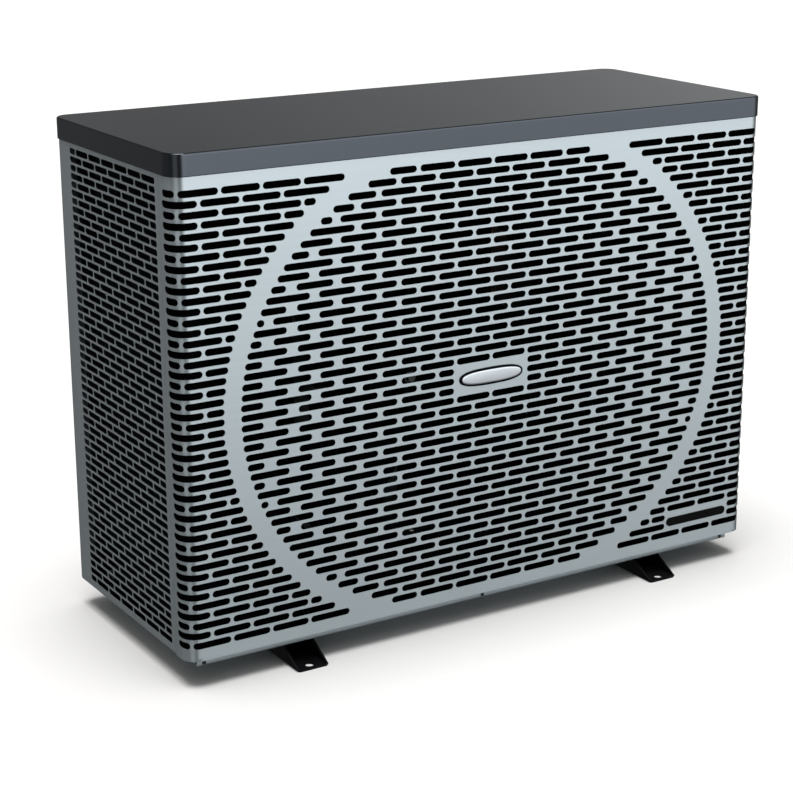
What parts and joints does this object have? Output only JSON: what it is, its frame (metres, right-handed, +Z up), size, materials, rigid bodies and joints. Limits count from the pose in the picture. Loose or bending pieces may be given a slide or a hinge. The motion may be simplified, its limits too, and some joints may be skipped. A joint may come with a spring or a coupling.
{
  "type": "pool heat pump",
  "caption": "Wide slotted sheet-metal heat pump cabinet for a pool, with a plain lid, channel feet, an axial fan, coil, compressor and water unions.",
  "frame": {"origin": "on the ground, under the middle of the whole outline (the water unions stand 48 mm out on the right, so the cabinet's own middle is at x = -24 mm)", "axes": "+X along the front to the right, +Y from the fan grille to the back, +Z up"},
  "size_m": [1.048, 0.44, 0.748],
  "materials": {
    "panel_paint": "satin powder coat, light blue-grey",
    "cover_paint": "satin powder coat, dark grey",
    "black_paint": "fine-textured powder coat",
    "tray_steel": "galvanised and painted",
    "black_screw": "blackened",
    "black_plastic": "moulded, fine grain",
    "chrome_trim": "polished",
    "gloss_black": "gloss",
    "fin_aluminium": "extruded fins",
    "coated_fins": "black epoxy-coated fins",
    "copper": "drawn copper, lightly oxidised",
    "inner_steel": "galvanised",
    "motor_black": "semi-gloss",
    "bright_steel": "turned",
    "rubber": "moulded",
    "brass": "turned",
    "pvc": "moulded",
    "titanium": "drawn",
    "circuit_board": "lacquered",
    "button_grey": "moulded",
    "display_glass": "gloss",
    "flap_plastic": "smoked, semi-gloss"
  },
  "bodies": {
    "cabinet": {"top_cover": "cover_paint", "front_panel": "panel_paint", "left_side_panel": "panel_paint", "right_side_panel": "panel_paint", "rear_service_panel": "panel_paint", "rear_coil_guard": "black_paint", "base_tray": "tray_steel", "left_foot": "black_paint", "right_foot": "black_paint", "tray_screw_left": "black_screw", "tray_screw_middle": "black_screw", "tray_screw_right": "black_screw", "drain_spout": "black_plastic", "centre_badge": "chrome_trim", "lower_badge": "gloss_black", "coil_fins": "coated_fins", "coil_front_plate": "copper", "coil_gas_header": "copper", "partition_plate": "inner_steel", "fan_shroud": "black_plastic", "fan_motor_bracket": "inner_steel", "fan_motor": "motor_black", "compressor_shell": "motor_black", "compressor_grommet_1": "rubber", "compressor_grommet_2": "rubber", "compressor_grommet_3": "rubber", "compressor_terminal_cover": "black_plastic", "suction_accumulator": "motor_black", "four_way_valve": "brass", "four_way_valve_coil": "black_plastic", "discharge_pipe": "copper", "suction_pipe": "copper", "condenser_gas_pipe": "copper", "liquid_pipe": "copper", "heat_exchanger_shell": "pvc", "titanium_coil": "titanium", "filter_drier": "copper", "expansion_valve": "brass", "expansion_valve_coil": "black_plastic", "water_inlet_pipe": "pvc", "water_outlet_pipe": "pvc", "flow_switch_body": "black_plastic", "electrical_box": "inner_steel", "electrical_box_lid": "inner_steel", "heat_sink": "fin_aluminium", "inverter_board": "circuit_board", "terminal_block": "pvc", "controller_housing": "black_plastic", "display_window": "display_glass"},
    "fan": {"fan_motor_shaft": "black_screw", "fan_blade": "black_plastic", "fan_nut": "black_screw"},
    "inlet_nut": {"inlet_union_nut": "black_plastic"},
    "outlet_nut": {"outlet_union_nut": "black_plastic"},
    "flow_paddle": {"flow_switch_paddle": "black_plastic"},
    "flap": {"controller_flap": "flap_plastic"},
    "power_key": {"button_power": "button_grey"},
    "down_key": {"button_down": "button_grey"},
    "up_key": {"button_up": "button_grey"},
    "mode_key": {"button_mode": "button_grey"}
  },
  "joints": [
    {"name": "fan_spin", "type": "hinge", "parent": "cabinet", "child": "fan", "pos_m": [-0.125, -0.098, 0.376], "axis": [0, 1, 0], "continuous": true},
    {"name": "inlet_nut_spin", "type": "hinge", "parent": "cabinet", "child": "inlet_nut", "pos_m": [0.499, 0.085, 0.115], "axis": [1, 0, 0], "continuous": true},
    {"name": "outlet_nut_spin", "type": "hinge", "parent": "cabinet", "child": "outlet_nut", "pos_m": [0.499, 0.085, 0.405], "axis": [1, 0, 0], "continuous": true},
    {"name": "flow_paddle_swing", "type": "hinge", "parent": "cabinet", "child": "flow_paddle", "pos_m": [0.426, 0.085, 0.157], "axis": [0, 1, 0], "range_deg": [0, 18]},
    {"name": "controller_flap_hinge", "type": "hinge", "parent": "cabinet", "child": "flap", "pos_m": [0.4912, -0.045, 0.6732], "axis": [0, -1, 0], "range_deg": [0, 105]},
    {"name": "power_key_press", "type": "slide", "parent": "cabinet", "child": "power_key", "axis": [-1, 0, 0], "range_m": [0, 0.0012]},
    {"name": "down_key_press", "type": "slide", "parent": "cabinet", "child": "down_key", "axis": [-1, 0, 0], "range_m": [0, 0.0012]},
    {"name": "up_key_press", "type": "slide", "parent": "cabinet", "child": "up_key", "axis": [-1, 0, 0], "range_m": [0, 0.0012]},
    {"name": "mode_key_press", "type": "slide", "parent": "cabinet", "child": "mode_key", "axis": [-1, 0, 0], "range_m": [0, 0.0012]}
  ]
}
